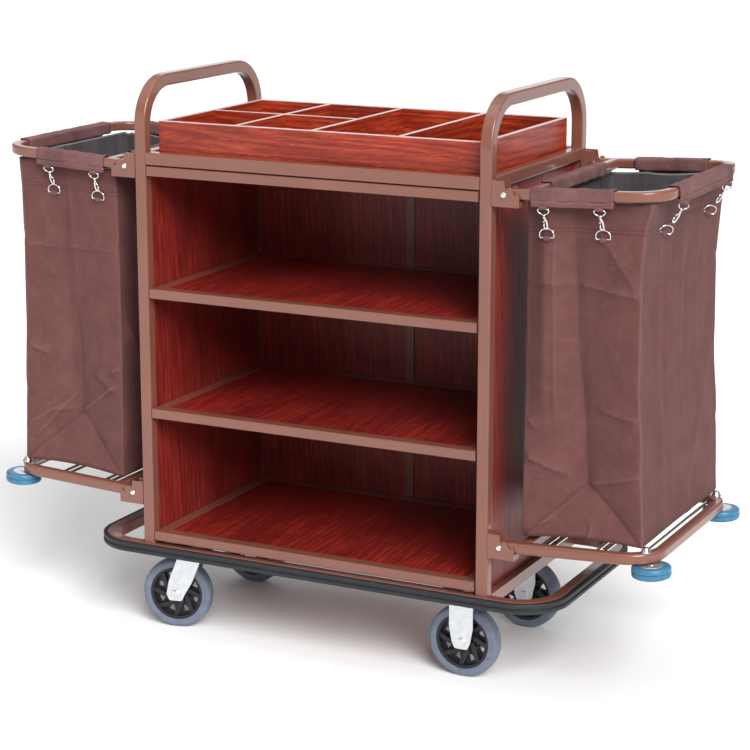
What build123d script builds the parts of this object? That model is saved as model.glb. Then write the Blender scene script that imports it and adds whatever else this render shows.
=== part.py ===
"""Housekeeping cart with two folding bag holders. Millimetres, +Z up, the open front faces -Y."""

import os
from math import cos, radians, sin

from build123d import *

os.makedirs("parts", exist_ok=True)

# Frame
TUBE = 25.0
TUBE_CORNER = 3.5
CABINET_HALF_X = 392.5
CABINET_HALF_Y = 240.5
POST_X = CABINET_HALF_X - TUBE / 2
POST_Y = CABINET_HALF_Y - TUBE / 2
POST_INNER_X = CABINET_HALF_X - TUBE
POST_INNER_Y = CABINET_HALF_Y - TUBE
BASE_TOP = 200.0
RAIL_TOP = 1023.0
HANDLE_TOP = 1173.0
HANDLE_BEND = 87.5
MULLION_WIDTH = 20.0

# Base loop and its bumper
BASE_HALF_X = 522.0
BASE_HALF_Y = 246.0
BASE_CORNER = 92.0
CASTER_BAR_X = 312.0
CASTER_BAR_WIDTH = 44.0
BUMPER_DEPTH = 9.0
BUMPER_HEIGHT = 21.0
BUMPER_TOP = 199.0
BUMPER_GROOVE = 2.5

# Shelves: height of the top face of each
SHELF_TOPS = {"bottom": 227.5, "middle": 492.0, "upper": 744.0, "top": 995.5}
SHELF_HEIGHT = 20.0
SHELF_FLANGE = 26.0
SHELF_HALF_X = 365.0
SHELF_BACK_Y = 224.0
BOARD = 9.0
PANEL = 9.0
PANEL_INNER_X = 368.0
BACK_PANEL_Y = 228.0

# Tray
TRAY_X = (-351.0, 363.0)
TRAY_Y = (-212.0, 204.0)
TRAY_TOP = 1085.0
TRAY_WALL = 9.0
TRAY_FLOOR = 6.0
TRAY_CROSS_X = (-178.0, -7.0, 183.0)
TRAY_LONG_Y = -2.0

# Hinge brackets and the frames that fold up on them
PIVOT_X = 417.0
PIVOT_Y = 226.0
UPPER_PIVOT_Z = 993.0
LOWER_PIVOT_Z = 305.0
BRACKET_PLATE = 2.0
BRACKET_LENGTH = 56.0
BRACKET_LOW = 23.0
BRACKET_HIGH = 26.0
BOLT_RADIUS = 4.0
RUNNING = 0.05
DOME_RADIUS = 5.8
TILT = 2.7
RING_TUBE = 20.0
RING_OUTER_X = 730.0
RING_BEND = 60.0
REST_TUBE = 22.0
REST_OUTER_X = 732.0
REST_BEND = 62.0
RING_TUBE_CORNER = 5.0
REST_TUBE_CORNER = 6.0
CROSS_BAR_X = 462.0
WIRE_RADIUS = 3.0
WIRE_GROUPS = (505.0, 610.0, 700.0)
WIRE_HALF_GAP = 8.0

# Fabric cuffs, snap hooks and bags
CUFF = 3.0
CUFF_SKIRT = 8.0
CUFF_FRONT_X = (473.0, 634.0)
CUFF_BACK_X = (508.0, 660.0)
CUFF_END_Y = 155.0
CUFF_INNER_Y = 140.0
HOOK_INSET = 27.0
HOOK_THICK = 3.0
HOOK_WIRE = 3.0
HOOK_EYE = (26.0, 12.0)
HOOK_NOSE = (26.0, 15.0)
HOOK_NOSE_DROP = 34.0
HOOK_NECK_DROP = 16.5
HOOK_NECK = 11.0
RING_RADIUS = 9.0
RING_WIRE = 2.5
RING_DROP = 62.0
INNER_HOOK_OFFSET = 4.5
BAG_INNER_X = (457.0, 456.5)
BAG_OUTER_X = (703.0, 698.0)
BAG_HALF_Y = 218.0
BAG_WALL = 3.0
BAG_CORNER = 14.0
BAG_FOOT_LIFT = 20.0
BAG_RIM_DROP = 14.0

# Bumper rollers
ROLLER_X = 716.0
ROLLER_Y = 208.0
ROLLER_RADIUS = 38.0
ROLLER_HEIGHT = 24.0
ROLLER_HUB_RADIUS = 24.0
ROLLER_GAP = 1.5
ROLLER_HEAD_RADIUS = 7.0
ROLLER_ROUND = 6.0
ROLLER_GROOVE = 1.4

# Casters
WHEEL_RADIUS = 75.0
WHEEL_WIDTH = 32.0
CORE_RADIUS = 57.5
HUB_RADIUS = 17.0
HUB_WIDTH = 37.0
SPOKES = 8
CASTER_Y = 160.0
SWIVEL_X = -312.0
TRAIL = 43.0
SWIVEL_TURN = {"front": 12.0, "rear": 0.0}
FORK_GAP = 38.4
FORK_PLATE = 3.0
AXLE_RADIUS = 5.0
PLATE_TOP = 175.0
PLATE = 4.0
PLATE_REACH = 50.0
PLATE_MARGIN = 14.0
PLATE_CORNER = 8.0
LEG_TOP = PLATE_TOP - PLATE - 2
LEG_SHOULDER_RISE = 31.0
LEG_AXLE_HALF = 20.0
LEG_FOOT_HALF = 14.0
LEG_FOOT_DROP = 14.0
LEG_ROUND = 6.0
CROWN = 5.0
CROWN_CORNER = 6.0
AXLE_HEAD_RADIUS = 9.0
AXLE_HEAD = 5.0
RIGID_LEG_HALF = 26.0
SWIVEL_LEG_HALF = 26.0
SWIVEL_LEG_BACK = 6.0
KING_PIN_RADIUS = 6.0
KING_PIN_FOOT = 157.5
RACE_RADIUS = 27.0
RIM_DEPTH = 6.0
RIM_INSET = 2.0
BLADE = (44.0, 22.0, 9.5)
BLADE_PLACE = (34.0, 0.0, 3.0)
BLADE_TURN = 24.0
WEB_HALF = 2.0
WINDOW_CORNERS = ((27.0, -26.0), (46.0, -9.0), (46.0, -29.0))
TYRE_ROUND = 9.0


def block(x, y, z):
    """A box from three (low, high) pairs."""
    size = [abs(b - a) for a, b in (x, y, z)]
    centre = [(a + b) / 2 for a, b in (x, y, z)]
    return Pos(*centre) * Box(*size)


def joined(shapes):
    total = shapes[0]
    for shape in shapes[1:]:
        total = total + shape
    return total


def rod_y(x, z, radius, y0, y1):
    """A round bar along Y."""
    return Pos(x, (y0 + y1) / 2, z) * Rot(X=90) * Cylinder(radius, abs(y1 - y0))


def rod_z(x, y, radius, z0, z1):
    return Pos(x, y, (z0 + z1) / 2) * Cylinder(radius, abs(z1 - z0))


def mirror_x(shape):
    return mirror(shape, about=Plane.YZ)


def mirror_y(shape):
    return mirror(shape, about=Plane.XZ)


def both_y(shape):
    return joined([shape, mirror_y(shape)])


def swept_tube(points, bend, size, corner, normal):
    """A square tube with rounded corners along a planar path whose corners are bent."""
    path = FilletPolyline(*points, radius=bend)
    section = Plane(origin=path @ 0, x_dir=normal, z_dir=path % 0)
    return sweep(section * RectangleRounded(size, size, corner), path=path)


def rounded_bar(x, y, z, corner=TUBE_CORNER):
    """A straight square tube whose long edges are rounded."""
    body = block(x, y, z)
    spans = [abs(b - a) for a, b in (x, y, z)]
    axis = (Axis.X, Axis.Y, Axis.Z)[spans.index(max(spans))]
    return fillet(body.edges().filter_by(axis), corner)


def raised(shape, pivot_z):
    """Turns a right-hand frame up about its hinge bolt by the angle at which it stands at rest."""
    return shape.rotate(Axis((PIVOT_X, 0, pivot_z), (0, 1, 0)), -TILT)


def save(name, shape):
    export_step(shape, f"parts/{name}.step")


def save_pair(name, shape):
    """The right-hand shape and its mirror image."""
    save(f"{name}_right", shape)
    save(f"{name}_left", mirror_x(shape))


# Cabinet


def side_frame():
    """Two posts and the push handle bent from one tube, with the top side rail."""
    points = [
        (POST_X, -POST_Y, BASE_TOP),
        (POST_X, -POST_Y, HANDLE_TOP - TUBE / 2),
        (POST_X, POST_Y, HANDLE_TOP - TUBE / 2),
        (POST_X, POST_Y, BASE_TOP),
    ]
    hoop = swept_tube(points, HANDLE_BEND, TUBE, TUBE_CORNER, (1, 0, 0))
    x = (POST_INNER_X, CABINET_HALF_X)
    y = (-POST_INNER_Y - 4, POST_INNER_Y + 4)
    return hoop + rounded_bar(x, y, (RAIL_TOP - TUBE, RAIL_TOP))


def front_rail():
    x = (-POST_INNER_X, POST_INNER_X)
    return rounded_bar(x, (-CABINET_HALF_Y, -POST_INNER_Y), (RAIL_TOP - TUBE, RAIL_TOP), 2.5)


def rear_rail():
    x = (-POST_INNER_X, POST_INNER_X)
    rail = rounded_bar(x, (POST_INNER_Y, CABINET_HALF_Y), (RAIL_TOP - TUBE, RAIL_TOP), 2.5)
    half = MULLION_WIDTH / 2
    y = (BACK_PANEL_Y - 2, BACK_PANEL_Y + PANEL + 2)
    return rail + block((-half, half), y, (BASE_TOP, RAIL_TOP - TUBE))


def base_loop(half_x, half_y, corner, z0, height):
    outline = RectangleRounded(2 * half_x, 2 * half_y, corner)
    return Pos(0, 0, z0) * extrude(outline, height)


def base_frame():
    z0 = BASE_TOP - TUBE
    outer = base_loop(BASE_HALF_X, BASE_HALF_Y, BASE_CORNER, z0, TUBE)
    inner = base_loop(BASE_HALF_X - TUBE, BASE_HALF_Y - TUBE, BASE_CORNER - TUBE, z0, TUBE)
    loop = outer - inner
    level = loop.edges().filter_by_position(Axis.Z, z0, z0)
    level += loop.edges().filter_by_position(Axis.Z, BASE_TOP, BASE_TOP)
    loop = fillet(level, TUBE_CORNER)
    reach = BASE_HALF_Y - TUBE + 4
    bars = []
    for x, width in ((POST_X, TUBE), (CASTER_BAR_X, CASTER_BAR_WIDTH)):
        for side in (-1, 1):
            span = (side * x - width / 2, side * x + width / 2)
            bars.append(block(span, (-reach, reach), (z0, BASE_TOP - 0.5)))
    return joined([loop] + bars)


def base_bumper():
    """A rubber strip round the base, with one groove along its middle."""
    z0 = BUMPER_TOP - BUMPER_HEIGHT

    def ring(inset, z, height):
        grow = BUMPER_DEPTH - inset
        return base_loop(BASE_HALF_X + grow, BASE_HALF_Y + grow, BASE_CORNER + grow, z, height)

    strip = ring(0, z0, BUMPER_HEIGHT)
    rims = strip.edges().filter_by_position(Axis.Z, z0, z0)
    rims += strip.edges().filter_by_position(Axis.Z, BUMPER_TOP, BUMPER_TOP)
    strip = fillet(rims, 2.5)
    middle = z0 + BUMPER_HEIGHT / 2 - 2.5
    strip -= ring(0, middle, 5) - ring(BUMPER_GROOVE, middle, 5)
    return strip - base_loop(BASE_HALF_X, BASE_HALF_Y, BASE_CORNER, z0, BUMPER_HEIGHT)


def shelf_frame(top):
    x = (-SHELF_HALF_X, SHELF_HALF_X)
    y = (-CABINET_HALF_Y, SHELF_BACK_Y)
    z = (top - SHELF_HEIGHT, top)
    frame = block(x, y, z)
    edges = frame.edges().filter_by(Axis.X).sort_by(Axis.Y)[:2]
    frame = fillet(edges, 2.0)
    frame -= block(
        (x[0] + SHELF_FLANGE, x[1] - SHELF_FLANGE),
        (y[0] + SHELF_FLANGE, y[1] - SHELF_FLANGE),
        z,
    )
    pins = []
    for side in (-1, 1):
        for y_pin in (-POST_Y, SHELF_BACK_Y - 3):
            near = side * (SHELF_HALF_X - 4)
            far = side * POST_INNER_X
            pins.append(block((near, far), (y_pin - 5, y_pin + 3), (top - 14, top - 6)))
    return joined([frame] + pins)


def shelf_board(top):
    x = SHELF_HALF_X - SHELF_FLANGE
    y = (-CABINET_HALF_Y + SHELF_FLANGE, SHELF_BACK_Y - SHELF_FLANGE)
    return block((-x, x), y, (top - BOARD, top - 0.4))


def side_panel():
    x = (PANEL_INNER_X, PANEL_INNER_X + PANEL)
    return block(x, (-POST_INNER_Y, POST_INNER_Y), (BASE_TOP + 0.5, RAIL_TOP - TUBE))


def back_panels():
    half = MULLION_WIDTH / 2
    y = (BACK_PANEL_Y, BACK_PANEL_Y + PANEL)
    z = (BASE_TOP + 0.5, RAIL_TOP - TUBE)
    right = block((half, POST_INNER_X), y, z)
    return joined([right, mirror_x(right)])


# Tray


def tray_floor_z():
    return SHELF_TOPS["top"] + 0.4


def tray_walls():
    z = (tray_floor_z(), TRAY_TOP)
    outer = block(TRAY_X, TRAY_Y, z)
    inner_x = (TRAY_X[0] + TRAY_WALL, TRAY_X[1] - TRAY_WALL)
    inner_y = (TRAY_Y[0] + TRAY_WALL, TRAY_Y[1] - TRAY_WALL)
    return outer - block(inner_x, inner_y, z)


def tray_floor():
    x = (TRAY_X[0] + TRAY_WALL, TRAY_X[1] - TRAY_WALL)
    y = (TRAY_Y[0] + TRAY_WALL, TRAY_Y[1] - TRAY_WALL)
    return block(x, y, (tray_floor_z(), tray_floor_z() + TRAY_FLOOR))


def tray_dividers():
    """Cross boards over the full depth and a long board over the left half."""
    half = TRAY_WALL / 2
    z = (tray_floor_z() + TRAY_FLOOR, TRAY_TOP - 0.5)
    y = (TRAY_Y[0] + TRAY_WALL, TRAY_Y[1] - TRAY_WALL)
    boards = [block((x - half, x + half), y, z) for x in TRAY_CROSS_X]
    long_x = (TRAY_X[0] + TRAY_WALL, TRAY_CROSS_X[1])
    boards.append(block(long_x, (TRAY_LONG_Y - half, TRAY_LONG_Y + half), z))
    return joined(boards)


# Hinge brackets


def bracket(pivot_z):
    """A U channel on the front right post: notched side plates, a back plate and an end stop."""
    x0 = CABINET_HALF_X
    low = pivot_z - BRACKET_LOW
    high = pivot_z + BRACKET_HIGH
    end = x0 + BRACKET_LENGTH
    outline = Polyline(
        (x0, low),
        (end, low),
        (end, pivot_z - 2),
        (end - 3, pivot_z + 4),
        (end - 8, pivot_z - 1),
        (end - 12, pivot_z + 3),
        (end - 15, pivot_z + 12),
        (end - 22, pivot_z + 14),
        (end - 28, pivot_z + 9),
        (end - 31, high),
        (x0, high),
        close=True,
    )
    face = make_face(Plane.XZ * outline)
    plate = extrude(face, BRACKET_PLATE)
    y_box = plate.bounding_box()
    outer = Pos(0, -CABINET_HALF_Y - y_box.min.Y, 0) * plate
    inner = Pos(0, -POST_INNER_Y + BRACKET_PLATE - y_box.min.Y, 0) * plate
    y = (-CABINET_HALF_Y, -POST_INNER_Y + 2 * BRACKET_PLATE)
    back = block((x0, x0 + BRACKET_PLATE), y, (low, high))
    stop = block((end - 4, end), y, (low, low + 12))
    foot = block((x0, end), y, (low, low + BRACKET_PLATE))
    channel = joined([outer, inner, back, stop, foot])
    return channel - rod_y(PIVOT_X, pivot_z, BOLT_RADIUS, -CABINET_HALF_Y - 5, 0)


def pivot_bolt(pivot_z):
    """A bolt across the bracket, with a domed head outside and a nut inside."""
    front = -CABINET_HALF_Y
    back = -POST_INNER_Y + 2 * BRACKET_PLATE
    shank = rod_y(PIVOT_X, pivot_z, BOLT_RADIUS, front, back)
    head = rod_y(PIVOT_X, pivot_z, DOME_RADIUS, front - 3.5, front)
    head = fillet(head.edges().sort_by(Axis.Y)[0], 3.0)
    nut = rod_y(PIVOT_X, pivot_z, DOME_RADIUS, back, back + 4)
    return joined([shank, head, nut])


def four_corners(shape):
    front = joined([shape, mirror_x(shape)])
    return both_y(front)


# Folding frames. They are drawn level, right-hand side, then turned up to their resting angle.


def folding_tube(size, outer_x, bend, corner, pivot_z):
    reach = outer_x - size / 2
    points = [
        (PIVOT_X, -PIVOT_Y, pivot_z),
        (reach, -PIVOT_Y, pivot_z),
        (reach, PIVOT_Y, pivot_z),
        (PIVOT_X, PIVOT_Y, pivot_z),
    ]
    hoop = swept_tube(points, bend, size, corner, (0, 0, 1))
    half = size / 2
    eye = rod_y(PIVOT_X, pivot_z, half, -PIVOT_Y - half, -PIVOT_Y + half)
    bar_x = (CROSS_BAR_X - half, CROSS_BAR_X + half)
    bar_y = (-PIVOT_Y + 6, PIVOT_Y - 6)
    bar = rounded_bar(bar_x, bar_y, (pivot_z - half, pivot_z + half), corner)
    frame = joined([hoop, eye, mirror_y(eye), bar])
    hole = rod_y(PIVOT_X, pivot_z, BOLT_RADIUS + RUNNING, -PIVOT_Y - size, PIVOT_Y + size)
    return frame - hole


def bag_ring():
    frame = folding_tube(RING_TUBE, RING_OUTER_X, RING_BEND, RING_TUBE_CORNER, UPPER_PIVOT_Z)
    return raised(frame, UPPER_PIVOT_Z)


def bag_rest():
    frame = folding_tube(REST_TUBE, REST_OUTER_X, REST_BEND, REST_TUBE_CORNER, LOWER_PIVOT_Z)
    return raised(frame, LOWER_PIVOT_Z)


def rest_wires():
    inner = PIVOT_Y - REST_TUBE / 2
    wires = []
    for x in WIRE_GROUPS:
        for side in (-1, 1):
            centre = x + side * WIRE_HALF_GAP
            wires.append(rod_y(centre, LOWER_PIVOT_Z, WIRE_RADIUS, -inner, inner))
    return raised(joined(wires), LOWER_PIVOT_Z) - bag_rest()


def sleeve(along, across, span, skirt_side):
    """A fabric sleeve round a ring tube; its skirt hangs below on one side."""
    half = RING_TUBE / 2 + 0.2
    out = half + CUFF
    z = UPPER_PIVOT_Z
    shell_across = (across - out, across + out)
    core_across = (across - half, across + half)
    edge = across + skirt_side * out
    skirt_across = (min(edge, edge - skirt_side * CUFF), max(edge, edge - skirt_side * CUFF))
    longer = (span[0] - 1, span[1] + 1)

    def lay(cross, run, height):
        return block(run, cross, height) if along == "x" else block(cross, run, height)

    shell = lay(shell_across, span, (z - out, z + out))
    shell -= lay(core_across, longer, (z - half, z + half))
    return shell + lay(skirt_across, span, (z - out - CUFF_SKIRT, z))


def ring_cuffs():
    end_x = RING_OUTER_X - RING_TUBE / 2
    cuffs = [
        sleeve("x", -PIVOT_Y, CUFF_FRONT_X, -1),
        sleeve("x", PIVOT_Y, CUFF_BACK_X, 1),
        sleeve("y", end_x, (-CUFF_END_Y, CUFF_END_Y), 1),
        sleeve("y", CROSS_BAR_X, (-CUFF_INNER_Y, CUFF_INNER_Y), -1),
    ]
    return raised(joined(cuffs), UPPER_PIVOT_Z)


def hook_places():
    """Where each snap hook hangs, as x, y and the way its flat side faces."""
    outside = RING_TUBE / 2 + 0.2 + CUFF / 2
    end_x = RING_OUTER_X - RING_TUBE / 2 + outside
    places = []
    for span, y in ((CUFF_FRONT_X, -PIVOT_Y - outside), (CUFF_BACK_X, PIVOT_Y + outside)):
        places += [(span[0] + HOOK_INSET, y, 0), (span[1] - HOOK_INSET, y, 0)]
    inner_x = CROSS_BAR_X - outside - INNER_HOOK_OFFSET
    for reach, x in ((CUFF_END_Y, end_x), (CUFF_INNER_Y, inner_x)):
        places += [(x, HOOK_INSET - reach, 90), (x, reach - HOOK_INSET, 90)]
    return places


def slot_ring(length, height):
    """A flat ring with round ends."""
    return SlotOverall(length, height) - SlotOverall(length - 2 * HOOK_WIRE, height - 2 * HOOK_WIRE)


def snap_hook():
    """Eye, swivel neck and nose of one hook, hanging from the origin, flat in the XZ plane."""
    eye = Plane.XZ * Pos(0, -HOOK_EYE[1] / 2) * slot_ring(*HOOK_EYE)
    nose = Plane.XZ * Pos(0, -HOOK_NOSE_DROP) * Rot(Z=90) * slot_ring(*HOOK_NOSE)
    neck = Pos(0, 0, -HOOK_NECK_DROP) * Cylinder(HOOK_WIRE, HOOK_NECK)
    body = extrude(eye, HOOK_THICK / 2, both=True) + extrude(nose, HOOK_THICK / 2, both=True)
    return body + neck


def snap_hooks():
    top = UPPER_PIVOT_Z - RING_TUBE / 2 - 0.2 - CUFF - CUFF_SKIRT
    hooks = [Pos(x, y, top) * Rot(Z=turn) * snap_hook() for x, y, turn in hook_places()]
    return raised(joined(hooks), UPPER_PIVOT_Z)


def bag_section(x0, x1, half_y, corner, pivot_z, lift):
    """A level rounded outline turned up to the angle of the frame it hangs from or stands over."""
    tilt = radians(TILT)
    reach = (x0 + x1) / 2 - PIVOT_X
    x = PIVOT_X + reach * cos(tilt) - lift * sin(tilt)
    z = pivot_z + reach * sin(tilt) + lift * cos(tilt)
    plane = Plane(origin=(x, 0, z), x_dir=(cos(tilt), 0, sin(tilt)), z_dir=(-sin(tilt), 0, cos(tilt)))
    return plane * RectangleRounded(x1 - x0, 2 * half_y, corner)


def bag():
    """A soft box, open at the top."""
    low = (BAG_INNER_X[0], BAG_OUTER_X[0])
    high = (BAG_INNER_X[1], BAG_OUTER_X[1])
    w = BAG_WALL
    outer = loft(
        [
            bag_section(*low, BAG_HALF_Y, BAG_CORNER, LOWER_PIVOT_Z, BAG_FOOT_LIFT),
            bag_section(*high, BAG_HALF_Y, BAG_CORNER, UPPER_PIVOT_Z, -BAG_RIM_DROP),
        ]
    )
    inside_low = (low[0] + w, low[1] - w)
    inside_high = (high[0] + w, high[1] - w)
    half_y = BAG_HALF_Y - w
    inner = loft(
        [
            bag_section(*inside_low, half_y, BAG_CORNER - w, LOWER_PIVOT_Z, BAG_FOOT_LIFT + w),
            bag_section(*inside_high, half_y, BAG_CORNER - w, UPPER_PIVOT_Z, 5 - BAG_RIM_DROP),
        ]
    )
    return outer - inner


def bag_rings():
    """One D-shaped ring on the bag behind each snap hook."""
    rings = []
    top = UPPER_PIVOT_Z - RING_DROP
    for x, y, turn in hook_places():
        ring = Plane.XZ * (Circle(RING_RADIUS) - Circle(RING_RADIUS - RING_WIRE))
        solid = extrude(ring, RING_WIRE / 2, both=True)
        if turn:
            outer = x > BAG_OUTER_X[1] - 60
            x = BAG_OUTER_X[1] + 3.5 if outer else BAG_INNER_X[1] - 2
        else:
            y = (BAG_HALF_Y + 2) * (1 if y > 0 else -1)
        rise = (x - PIVOT_X) * sin(radians(TILT))
        rings.append(Pos(x, y, top + rise) * Rot(Z=turn) * solid)
    return joined(rings)


# Bumper rollers under the outer corners of the bag rests


def roller_z():
    high = LOWER_PIVOT_Z - REST_TUBE / 2 - ROLLER_GAP
    return high - ROLLER_HEIGHT, high


def roller_bolts():
    low, high = roller_z()
    shank = rod_z(ROLLER_X, -ROLLER_Y, BOLT_RADIUS, low - 1, LOWER_PIVOT_Z - REST_TUBE / 2)
    head = rod_z(ROLLER_X, -ROLLER_Y, ROLLER_HEAD_RADIUS, low - 5, low - 1)
    collar = rod_z(ROLLER_X, -ROLLER_Y, ROLLER_HEAD_RADIUS, high + 0.5, LOWER_PIVOT_Z - REST_TUBE / 2)
    return raised(both_y(joined([shank, head, collar])), LOWER_PIVOT_Z)


def roller_hub():
    low, high = roller_z()
    body = rod_z(ROLLER_X, -ROLLER_Y, ROLLER_HUB_RADIUS, low, high)
    body = chamfer(body.edges(), 1.5)
    bore = rod_z(ROLLER_X, -ROLLER_Y, BOLT_RADIUS + RUNNING, low - 1, high + 1)
    return raised(body - bore, LOWER_PIVOT_Z)


def roller_tyre():
    low, high = roller_z()
    body = rod_z(ROLLER_X, -ROLLER_Y, ROLLER_RADIUS, low + 0.5, high - 0.5)
    body = fillet(body.edges(), ROLLER_ROUND)
    middle = (low + high) / 2
    groove = rod_z(ROLLER_X, -ROLLER_Y, ROLLER_RADIUS + 1, middle, middle + ROLLER_GROOVE)
    groove -= rod_z(ROLLER_X, -ROLLER_Y, ROLLER_RADIUS - ROLLER_GROOVE, middle - 1, middle + 2 * ROLLER_GROOVE)
    bore = rod_z(ROLLER_X, -ROLLER_Y, ROLLER_HUB_RADIUS, low - 1, high + 1)
    return raised(body - groove - bore, LOWER_PIVOT_Z)


# Casters


def fork_leg(top_x, top_half, foot_x):
    """A side plate that runs straight to its shoulders and narrows to a foot under the axle."""
    shoulder = WHEEL_RADIUS + LEG_SHOULDER_RISE
    down = (LEG_TOP - shoulder) / (LEG_TOP - WHEEL_RADIUS)
    shoulder_x = top_x + (foot_x - top_x) * down
    right = [
        (top_x + top_half, LEG_TOP),
        (shoulder_x + top_half, shoulder),
        (foot_x + LEG_AXLE_HALF, WHEEL_RADIUS),
        (foot_x + LEG_FOOT_HALF, WHEEL_RADIUS - LEG_FOOT_DROP),
    ]
    left = [
        (foot_x - LEG_FOOT_HALF, WHEEL_RADIUS - LEG_FOOT_DROP),
        (foot_x - LEG_AXLE_HALF, WHEEL_RADIUS),
        (shoulder_x - top_half, shoulder),
        (top_x - top_half, LEG_TOP),
    ]
    outline = Polyline(*right, *left, close=True)
    plate = extrude(make_face(Plane.XZ * outline), FORK_PLATE / 2, both=True)
    upright = plate.edges().filter_by(Axis.Y)
    return fillet([edge for edge in upright if edge.center().Z < LEG_TOP - 1], LEG_ROUND)


def fork(top_x, top_half, foot_x):
    """Two legs, the crown that joins them over the wheel, and the axle bolt."""
    offset = FORK_GAP / 2 + FORK_PLATE / 2
    leg = fork_leg(top_x, top_half, foot_x)
    legs = [Pos(0, side * offset, 0) * leg for side in (-1, 1)]
    reach = offset + FORK_PLATE / 2
    crown = block((top_x - top_half, top_x + top_half), (-reach, reach), (LEG_TOP - CROWN, LEG_TOP))
    crown = fillet(crown.edges().filter_by(Axis.Z), CROWN_CORNER)
    axle = rod_y(foot_x, WHEEL_RADIUS, AXLE_RADIUS, -reach - 2, reach + 2)
    heads = []
    for side in (-1, 1):
        ends = (side * reach, side * (reach + AXLE_HEAD))
        heads.append(rod_y(foot_x, WHEEL_RADIUS, AXLE_HEAD_RADIUS, *ends))
    return joined(legs + [crown, axle] + heads)


def top_plate(centre_x, low):
    """The plate that bolts a caster to the base, over y = 0."""
    half = CASTER_BAR_WIDTH / 2 + PLATE_MARGIN
    plate = block((centre_x - half, centre_x + half), (-PLATE_REACH, PLATE_REACH), (low, PLATE_TOP))
    return fillet(plate.edges().filter_by(Axis.Z), PLATE_CORNER)


def both_casters(shape):
    return joined([Pos(0, side * CASTER_Y, 0) * shape for side in (-1, 1)])


def rigid_forks():
    caster = fork(CASTER_BAR_X, RIGID_LEG_HALF, CASTER_BAR_X)
    return both_casters(caster + top_plate(CASTER_BAR_X, LEG_TOP))


def swivel_plates():
    """The fixed top plates of the turning casters, each with its king pin."""
    pin = rod_z(SWIVEL_X, 0, KING_PIN_RADIUS, KING_PIN_FOOT, PLATE_TOP - PLATE)
    return both_casters(top_plate(SWIVEL_X, PLATE_TOP - PLATE) + pin)


def swivel_fork():
    """The turning part of a caster, trailing towards -X, drawn about y = 0."""
    body = fork(SWIVEL_X - SWIVEL_LEG_BACK, SWIVEL_LEG_HALF, SWIVEL_X - TRAIL)
    race = rod_z(SWIVEL_X, 0, RACE_RADIUS, LEG_TOP - CROWN, PLATE_TOP - PLATE - 0.4)
    race = fillet(race.edges().sort_by(Axis.Z)[-1], 1.2)
    bore = rod_z(SWIVEL_X, 0, KING_PIN_RADIUS + RUNNING, WHEEL_RADIUS * 2, PLATE_TOP)
    return body + race - bore


def web_window():
    """One three-cornered window through the web, beside the first blade."""
    corners = [
        (reach * cos(radians(angle)), reach * sin(radians(angle)))
        for reach, angle in WINDOW_CORNERS
    ]
    return extrude(make_face(Plane.XZ * Polyline(*corners, close=True)), 2 * WEB_HALF, both=True)


def wheel_core():
    """Rim, hub and slanted blades, centred on the origin with its axle along Y."""
    half = WHEEL_WIDTH / 2
    rim = rod_y(0, 0, CORE_RADIUS, RIM_INSET - half, half - RIM_INSET)
    rim -= rod_y(0, 0, CORE_RADIUS - RIM_DEPTH, -half, half)
    hub = rod_y(0, 0, HUB_RADIUS, -HUB_WIDTH / 2, HUB_WIDTH / 2)
    blades = []
    for i in range(SPOKES):
        blade = Pos(*BLADE_PLACE) * Rot(Y=BLADE_TURN) * Box(*BLADE)
        blades.append(Rot(Y=360 / SPOKES * i) * blade)
    web = rod_y(0, 0, CORE_RADIUS - 6, -WEB_HALF, WEB_HALF)
    gap = web_window()
    web = web - joined([Rot(Y=360 / SPOKES * i) * gap for i in range(SPOKES)])
    blades = joined(blades) & rod_y(0, 0, CORE_RADIUS - RIM_DEPTH / 2, -BLADE[1] / 2, BLADE[1] / 2)
    body = joined([rim, hub, blades, web])
    return body - rod_y(0, 0, AXLE_RADIUS + RUNNING, -HUB_WIDTH, HUB_WIDTH)


def wheel_tyre():
    half = WHEEL_WIDTH / 2
    body = rod_y(0, 0, WHEEL_RADIUS, -half, half)
    body = fillet(body.edges(), TYRE_ROUND)
    return body - rod_y(0, 0, CORE_RADIUS, -half - 1, half + 1)


def turned(shape, place):
    """Moves a caster part drawn about y = 0 to its corner and turns it about its king pin."""
    side = -1 if place == "front" else 1
    placed = Pos(0, side * CASTER_Y, 0) * shape
    pin = Axis((SWIVEL_X, side * CASTER_Y, 0), (0, 0, 1))
    return placed.rotate(pin, SWIVEL_TURN[place])


def write_cabinet():
    save_pair("side_frame", side_frame())
    save("front_rail", front_rail())
    save("rear_rail", rear_rail())
    save("base_frame", base_frame())
    save("base_bumper", base_bumper())
    for name, top in SHELF_TOPS.items():
        save(f"shelf_frame_{name}", shelf_frame(top))
        save(f"shelf_board_{name}", shelf_board(top))
    save_pair("side_panel", side_panel())
    save("back_panels", back_panels())
    save("tray_walls", tray_walls())
    save("tray_floor", tray_floor())
    save("tray_dividers", tray_dividers())


def write_bag_holders():
    heights = (UPPER_PIVOT_Z, LOWER_PIVOT_Z)
    save("hinge_brackets", joined([four_corners(bracket(z)) for z in heights]))
    save("pivot_bolts", joined([four_corners(pivot_bolt(z)) for z in heights]))
    save_pair("bag_ring", bag_ring())
    save_pair("ring_cuffs", ring_cuffs())
    save_pair("snap_hooks", snap_hooks())
    save_pair("bag", bag())
    save_pair("bag_rings", bag_rings())
    save_pair("bag_rest", bag_rest())
    save_pair("rest_wires", rest_wires())
    save_pair("roller_bolts", roller_bolts())
    for name, shape in (("roller_hub", roller_hub()), ("roller_tyre", roller_tyre())):
        save_pair(f"{name}_front", shape)
        save_pair(f"{name}_rear", mirror_y(shape))


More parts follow.
